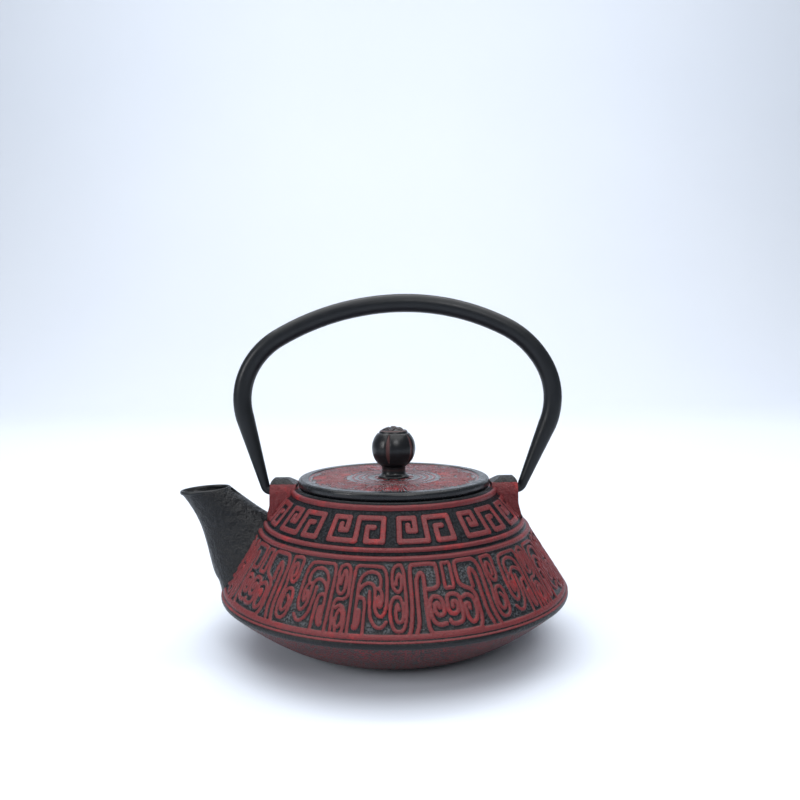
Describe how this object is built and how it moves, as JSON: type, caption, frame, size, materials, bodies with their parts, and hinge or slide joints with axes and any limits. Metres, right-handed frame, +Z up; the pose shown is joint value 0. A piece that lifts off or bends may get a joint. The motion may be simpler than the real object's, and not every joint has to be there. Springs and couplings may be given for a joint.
{
  "type": "cast iron teapot",
  "caption": "Low, wide cast iron teapot with a relief-patterned shoulder, lift-off lid with ball knob, swinging arched handle and a lift-out tea basket.",
  "frame": {"origin": "centre of the flat base, on the surface the pot stands on", "axes": "+Z up along the body's axis of revolution, spout towards -X, the handle's hinge axis parallel to X"},
  "size_m": [0.1853, 0.165, 0.1636],
  "materials": {
    "pot_iron": "satin black enamel with brick red rubbed on the raised relief",
    "handle_iron": "satin black",
    "lid_iron": "satin black with red on the raised relief",
    "knob_iron": "gloss black",
    "stainless": "brushed"
  },
  "bodies": {
    "pot": {"pot_body": "pot_iron"},
    "handle": {"handle": "handle_iron"},
    "infuser": {"infuser_rim": "stainless", "infuser_wall": "stainless", "infuser_floor": "stainless"},
    "lid": {"lid": "lid_iron", "knob": "knob_iron", "knob_washer": "stainless", "knob_screw": "stainless"}
  },
  "joints": [
    {"name": "handle_swing", "type": "hinge", "parent": "pot", "child": "handle", "pos_m": [0, 0, 0.07], "axis": [1, 0, 0], "range_deg": [-113, 113]},
    {"name": "infuser_lift", "type": "slide", "parent": "pot", "child": "infuser", "axis": [0, 0, 1], "range_m": [0, 0.05]},
    {"name": "lid_lift", "type": "slide", "parent": "infuser", "child": "lid", "axis": [0, 0, 1], "range_m": [0, 0.05]}
  ]
}
